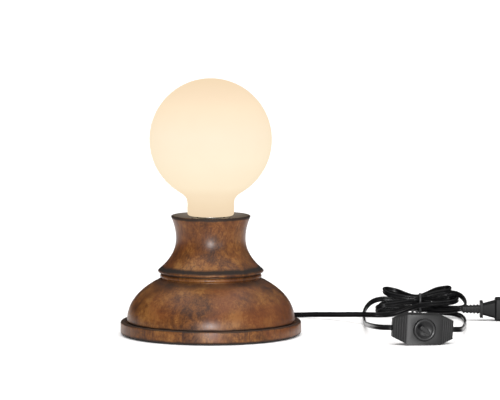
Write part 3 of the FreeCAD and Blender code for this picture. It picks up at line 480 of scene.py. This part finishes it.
# ---------------------------------------------------------------- bulb
# Opal glass globe, blown and lit from inside, a little dimmer at its top and its collar, with a rolled
# aluminium screw cap, a black glass insulator, a soldered tip, and its filament on a clear glass stem.
glow_by_height = ((0.0, (0.82, 0.64, 0.43)), (0.03, (0.847, 0.665, 0.451)), (0.09, (0.88, 0.70, 0.48)),
                  (0.16, (0.93, 0.76, 0.54)), (0.22, (0.975, 0.835, 0.615)), (0.42, (0.98, 0.86, 0.655)),
                  (0.60, (0.98, 0.845, 0.648)), (0.81, (0.985, 0.797, 0.575)), (0.905, (0.935, 0.735, 0.518)),
                  (1.0, (0.89, 0.685, 0.46)))
edge_glow = (0.92, 0.735, 0.50)
cloud_glow = (0.80, 0.60, 0.40)
cap_radius = 0.01260
cap_plain = 0.0022

opal_look = Look("opal_glass", base_color=(0.02, 0.018, 0.015), roughness=0.5, specular_ior_level=0.0)
bulb_low, bulb_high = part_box("globe_glass")
level = opal_look.node("ShaderNodeSeparateXYZ", {0: opal_look.place}).outputs[2]
level = opal_look.node("ShaderNodeMapRange", {0: level, 1: bulb_low.z, 2: bulb_high.z}).outputs[0]
glow = opal_look.ramp(level, *glow_by_height)
thick = opal_look.node("ShaderNodeLayerWeight", {0: 0.35}).outputs["Facing"]
glow = opal_look.mix(opal_look.math("MULTIPLY", thick, 0.5), glow, edge_glow)
cloudy = opal_look.ramp(opal_look.noise(35, 2), (0.3, 0.06), (0.7, 0.0))
opal_look.set(emission_color=opal_look.mix(cloudy, glow, cloud_glow), emission_strength=1.0)
piece("opal_globe", refined("globe_glass", 60), opal_look, "bulb", "opal_glass", "globe_glass")

cap_look = metal_look("rolled_aluminium", (0.60, 0.60, 0.59), 0.48)
cap_low, cap_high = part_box("bulb_cap")
piece("threaded_cap", rolled_thread("cap", cap_low.z, cap_high.z, cap_radius, cap_plain), cap_look,
      "bulb", "cap_metal", "bulb_cap")
black_glass_look = plastic_look("black_glass", (0.008, 0.008, 0.010), 0.08, 0.000004, 0.5)
solder_look = metal_look("tinned_solder", (0.62, 0.62, 0.60), 0.3, 500)
clear_look = Look("clear_glass", base_color=(0.92, 0.94, 0.94), transmission_weight=0.9, ior=1.5)
clear_look.set(roughness=clear_look.ramp(clear_look.noise(300, 2), (0.3, 0.02), (0.7, 0.08)))
wire_look = metal_look("nickel_wire", (0.5, 0.49, 0.47), 0.3)
filament_look = metal_look("glowing_tungsten", (0.9, 0.72, 0.45), 0.4)
filament_look.set(emission_color=(1.0, 0.66, 0.3), emission_strength=2.0)
dress(black_glass_look, "cap_insulator")
dress(solder_look, "tip_contact")
dress(clear_look, "glass_stem")
dress(wire_look, "feed_wires", "support_wires")
dress(filament_look, "filament")


# ---------------------------------------------------------------- cord
# Flat twin cord, two cores side by side in one black sheath, which stands on edge where it lies on the table.
# It leaves the base at the back and folds through the tied hank to the dimmer, and from there to the plug.
cord_thickness = 0.0028
lobe_points = 11
lobe_reach = 130                         # degrees of each lobe's round on both sides of its outer point
lamp_cord_route = [
    (0.0000, 0.1050, 0.0074), (0.0000, 0.1166, 0.0074), (0.0086, 0.1304, 0.0054),
    (0.0260, 0.1380, 0.0028), (0.0560, 0.1396, 0.0028), (0.0880, 0.1360, 0.0028),
    (0.1129, 0.1284, 0.0045), (0.1352, 0.1120, 0.0063), (0.1511, 0.0930, 0.0089),
    (0.1641, 0.0790, 0.0105), (0.1783, 0.0750, 0.0106), (0.1919, 0.0830, 0.0102),
    (0.2001, 0.0970, 0.0107), (0.2081, 0.1110, 0.0118), (0.2158, 0.1220, 0.0131),
    (0.2235, 0.1280, 0.0145), (0.2323, 0.1310, 0.0150), (0.2410, 0.1330, 0.0154),
    (0.2548, 0.1341, 0.0163), (0.2608, 0.1374, 0.0170), (0.2644, 0.1432, 0.0183),
    (0.2648, 0.1498, 0.0192), (0.2617, 0.1556, 0.0191), (0.2561, 0.1589, 0.0185),
    (0.2464, 0.1570, 0.0177), (0.2386, 0.1515, 0.0181), (0.2319, 0.1460, 0.0203),
    (0.2240, 0.1426, 0.0192), (0.2200, 0.1420, 0.0196), (0.2155, 0.1423, 0.0203),
    (0.2080, 0.1428, 0.0209), (0.2005, 0.1440, 0.0221), (0.1907, 0.1460, 0.0240),
    (0.1871, 0.1482, 0.0255), (0.1851, 0.1519, 0.0270), (0.1852, 0.1561, 0.0280),
    (0.1875, 0.1598, 0.0282), (0.1913, 0.1620, 0.0277), (0.2012, 0.1616, 0.0254),
    (0.2075, 0.1580, 0.0230), (0.2149, 0.1524, 0.0210), (0.2198, 0.1488, 0.0208),
    (0.2240, 0.1488, 0.0212), (0.2321, 0.1510, 0.0240), (0.2372, 0.1560, 0.0260),
    (0.2433, 0.1610, 0.0278), (0.2518, 0.1635, 0.0289), (0.2554, 0.1613, 0.0293),
    (0.2574, 0.1576, 0.0289), (0.2572, 0.1534, 0.0279), (0.2548, 0.1497, 0.0270),
    (0.2510, 0.1475, 0.0266), (0.2437, 0.1470, 0.0258), (0.2367, 0.1464, 0.0242),
    (0.2240, 0.1456, 0.0206), (0.2200, 0.1454, 0.0198), (0.2168, 0.1476, 0.0192),
    (0.2083, 0.1495, 0.0184), (0.1986, 0.1510, 0.0180), (0.1900, 0.1520, 0.0183),
    (0.1825, 0.1520, 0.0185), (0.1755, 0.1500, 0.0172), (0.1698, 0.1456, 0.0145),
    (0.1657, 0.1380, 0.0110), (0.1632, 0.1274, 0.0074), (0.1622, 0.1140, 0.0048),
    (0.1624, 0.0900, 0.0028), (0.1623, 0.0600, 0.0034), (0.1626, 0.0280, 0.0066),
    (0.1634, -0.0040, 0.0102), (0.1646, -0.0330, 0.0132), (0.1670, -0.0560, 0.0154),
    (0.1706, -0.0710, 0.0167), (0.1752, -0.0790, 0.0173), (0.1804, -0.0820, 0.0175),
    (0.1856, -0.0822, 0.0175),
]
plug_cord_route = [
    (0.2476, -0.0735, 0.0144), (0.2510, -0.0729, 0.0143), (0.2546, -0.0704, 0.0140),
    (0.2572, -0.0645, 0.0134), (0.2592, -0.0520, 0.0122), (0.2616, -0.0240, 0.0096),
    (0.2646, 0.0140, 0.0060), (0.2676, 0.0540, 0.0032), (0.2698, 0.0900, 0.0028),
    (0.2684, 0.1160, 0.0029), (0.2672, 0.1300, 0.0028), (0.2606, 0.1380, 0.0041),
    (0.2522, 0.1420, 0.0045), (0.2426, 0.1440, 0.0051), (0.2340, 0.1450, 0.0067),
    (0.2240, 0.1454, 0.0086), (0.2200, 0.1456, 0.0086), (0.2158, 0.1480, 0.0103),
    (0.2072, 0.1494, 0.0090), (0.1986, 0.1500, 0.0079), (0.1922, 0.1500, 0.0074),
    (0.1859, 0.1500, 0.0074), (0.1828, 0.1518, 0.0078), (0.1811, 0.1549, 0.0088),
    (0.1812, 0.1585, 0.0103), (0.1831, 0.1616, 0.0114), (0.1863, 0.1634, 0.0121),
    (0.1958, 0.1624, 0.0126), (0.2033, 0.1590, 0.0135), (0.2106, 0.1540, 0.0145),
    (0.2169, 0.1495, 0.0157), (0.2200, 0.1458, 0.0140), (0.2240, 0.1462, 0.0140),
    (0.2331, 0.1494, 0.0175), (0.2386, 0.1520, 0.0194), (0.2441, 0.1540, 0.0213),
    (0.2506, 0.1550, 0.0231), (0.2571, 0.1546, 0.0247), (0.2629, 0.1534, 0.0244),
    (0.2677, 0.1510, 0.0224), (0.2710, 0.1476, 0.0195), (0.2729, 0.1430, 0.0161),
    (0.2729, 0.1380, 0.0135), (0.2711, 0.1332, 0.0119), (0.2670, 0.1298, 0.0112),
    (0.2612, 0.1290, 0.0111), (0.2527, 0.1314, 0.0110), (0.2440, 0.1350, 0.0115),
    (0.2348, 0.1394, 0.0131), (0.2240, 0.1416, 0.0136), (0.2200, 0.1412, 0.0138),
    (0.2154, 0.1396, 0.0172), (0.2067, 0.1370, 0.0162), (0.1980, 0.1344, 0.0152),
    (0.1904, 0.1326, 0.0143), (0.1822, 0.1320, 0.0133), (0.1788, 0.1340, 0.0120),
    (0.1769, 0.1375, 0.0101), (0.1770, 0.1415, 0.0078), (0.1791, 0.1450, 0.0061),
    (0.1827, 0.1470, 0.0052), (0.1931, 0.1470, 0.0056), (0.2006, 0.1460, 0.0070),
    (0.2092, 0.1444, 0.0090), (0.2167, 0.1430, 0.0105), (0.2200, 0.1418, 0.0082),
    (0.2240, 0.1416, 0.0080), (0.2326, 0.1385, 0.0082), (0.2388, 0.1330, 0.0080),
    (0.2461, 0.1265, 0.0084), (0.2533, 0.1204, 0.0094), (0.2605, 0.1158, 0.0108),
    (0.2635, 0.1130, 0.0123), (0.2676, 0.1130, 0.0123),
]


def line_of(name, route):
    """Points read from the NURBS spline that has the route's points as its control points."""
    data = bpy.data.curves.new(name, "CURVE")
    data.dimensions = "3D"
    data.resolution_u = 10
    spline = data.splines.new("NURBS")
    spline.points.add(len(route) - 1)
    for point, place in zip(spline.points, route):
        point.co = (*place, 1.0)
    spline.order_u = 3
    spline.use_endpoint_u = True
    helper = bpy.data.objects.new(name, data)
    mesh = bpy.data.meshes.new_from_object(helper)
    points = [v.co.copy() for v in mesh.vertices]
    bpy.data.objects.remove(helper)
    bpy.data.meshes.remove(mesh)
    return points


def twin_section():
    """Figure of eight across the cord: two round lobes with a shallow web between them."""
    lobe = cord_thickness / 2
    half = []
    for k in range(lobe_points):
        turn = math.radians(lobe_reach * (2 * k / (lobe_points - 1) - 1))
        half.append((lobe + lobe * math.cos(turn), lobe * math.sin(turn)))
    return half + [(-u, -v) for u, v in half]


def swept(name, line, section, turns=0.0):
    """Sweeps a closed section along a line, its first axis held upright and turned evenly as asked."""
    rings = []
    last = len(line) - 1
    for k, here in enumerate(line):
        along = (line[min(k + 1, last)] - line[max(k - 1, 0)]).normalized()
        wide = (Vector((0, 0, 1)) - along * along.z).normalized()
        thin = along.cross(wide)
        angle = 2 * math.pi * turns * k / last
        wide, thin = (wide * math.cos(angle) + thin * math.sin(angle),
                      thin * math.cos(angle) - wide * math.sin(angle))
        rings.append([here + wide * u + thin * v for u, v in section])
    return skin(name, rings, (line[0], line[-1]))


cord_look = plastic_look("cord_sheath", (0.0015, 0.0015, 0.0017), 0.17, 0.000003, 0.08, 1.6)
lamp_line = line_of("lamp_route", lamp_cord_route)
plug_line = line_of("plug_route", plug_cord_route)
lamp_cord = piece("lamp_cord", swept("lamp_cord", lamp_line, twin_section()), cord_look, "lamp", "cord_pvc",
                  "lamp_lead", "left_leg", "cord_hank")
plug_cord = piece("plug_cord", swept("plug_cord", plug_line, twin_section()), cord_look, "lamp", "cord_pvc",
                  "right_leg", "plug_tail")
core_look = plastic_look("core_insulation", (0.03, 0.03, 0.035), 0.3, 0.00001, 0.4)
dress(cord_look, "inner_cord")
dress(core_look, "supply_cores")
bushing_look = plastic_look("soft_bushing", (0.012, 0.012, 0.013), 0.5, 0.00003)
dress(bushing_look, "cord_bushing")


# ---------------------------------------------------------------- twist tie
# Flat black plastic strip with a wire in it, bent round the middle of the hank, its two ends twisted together
# and tucked under in front.
tie_x = 0.2240
tie_middle = (0.1452, 0.0145)            # y and z of the band's middle
tie_reach = (0.0062, 0.0104)             # half its depth and half its height
tie_squareness = 3.2                     # 2 is round
tie_steps = 56
tie_twists = 3.5
band_section = [(-0.0013, 0.0), (-0.0012, 0.0005), (-0.0004, 0.0005), (0.0, 0.0008), (0.0004, 0.0005),
                (0.0012, 0.0005), (0.0013, 0.0), (0.0, -0.0001)]
strip_section = [(0.0011, 0.0), (0.0009, 0.0003), (0.0, 0.0006), (-0.0009, 0.0003), (-0.0011, 0.0),
                 (-0.0009, -0.0003), (0.0, -0.0006), (0.0009, -0.0003)]
tie_tail = [(0.2234, 0.1394, 0.0060), (0.2220, 0.1360, 0.0064), (0.2196, 0.1336, 0.0076), (0.2166, 0.1324, 0.0078),
            (0.2146, 0.1318, 0.0064), (0.2164, 0.1314, 0.0050), (0.2196, 0.1312, 0.0052), (0.2208, 0.1310, 0.0068),
            (0.2186, 0.1306, 0.0082), (0.2144, 0.1302, 0.0089), (0.2114, 0.1298, 0.0083), (0.2092, 0.1296, 0.0070)]


def tie_band():
    """Closed band round the hank, a ridge over the wire along its middle."""
    rings = []
    for k in range(tie_steps):
        turn = 2 * math.pi * k / tie_steps
        c, s = math.cos(turn), math.sin(turn)
        blunt = (abs(c) ** tie_squareness + abs(s) ** tie_squareness) ** (-1 / tie_squareness)
        rings.append([(tie_x + along, tie_middle[0] + (tie_reach[0] * blunt + out) * c,
                       tie_middle[1] + (tie_reach[1] * blunt + out) * s) for along, out in band_section])
    return skin("tie_band", rings)


tie_look = plastic_look("tie_strip", (0.010, 0.010, 0.011), 0.3, 0.00001, 0.4, 1.6)
piece("tie_band", tie_band(), tie_look, "lamp", "tie", "cord_tie")
piece("tie_tail", swept("tie_tail", line_of("tail_route", tie_tail), strip_section, tie_twists), tie_look,
      "lamp", "tie")


# ---------------------------------------------------------------- dimmer
# Inline rotary dimmer: two moulded shells with ribbed ends, screwed together from the back, a dished knob with a
# raised bar to grip, and inside a board with a potentiometer, a triac and a capacitor.
case_edge = 0.00035

case_look = plastic_look("dimmer_case", (0.0035, 0.0035, 0.0037), 0.36, 0.00001, 0.26, 1.3)
knob_look = plastic_look("dimmer_knob", (0.0025, 0.0025, 0.0028), 0.24, 0.00001, 0.26, 1.4)
front_shell = piece("dimmer_front", refined("dimmer_front_shell", bevel=case_edge), case_look, "lamp",
                    "dimmer_plastic", "dimmer_front_shell")
back_shell = piece("dimmer_back", refined("dimmer_back_shell", bevel=case_edge), case_look, "lamp",
                   "dimmer_plastic", "dimmer_back_shell")
knob = piece("knob_cap", refined("dimmer_knob"), knob_look, "knob", "knob_plastic", "dimmer_knob")
board_look = plastic_look("green_laminate", (0.04, 0.14, 0.06), 0.35, 0.00001, 0.5)
part_look = plastic_look("moulded_component", (0.02, 0.02, 0.022), 0.4, 0.00002, 0.4)
shaft_look = metal_look("turned_shaft", (0.7, 0.7, 0.69), 0.22)
dress(steel_look, "dimmer_screws")
dress(board_look, "dimmer_board")
dress(part_look, "potentiometer", "triac", "capacitor")
dress(core_look, "board_cores")
dress(shaft_look, "knob_shaft")


# ---------------------------------------------------------------- plug
# Two-pin plug of black plastic, moulded onto the cord in one with its ribbed strain relief, finger guard and
# flared body. Its two blades are nickel-plated brass.
plug_edge = 0.0003

plug_look = plastic_look("plug_case", (0.0018, 0.0018, 0.002), 0.28, 0.00002, 0.09, 1.5)
plug = piece("plug_case", refined("plug_body", bevel=plug_edge), plug_look, "lamp", "plug_plastic", "plug_body")
blade_look = metal_look("nickel_plate", (0.75, 0.72, 0.62), 0.2)
dress(blade_look, "narrow_blade", "wide_blade")
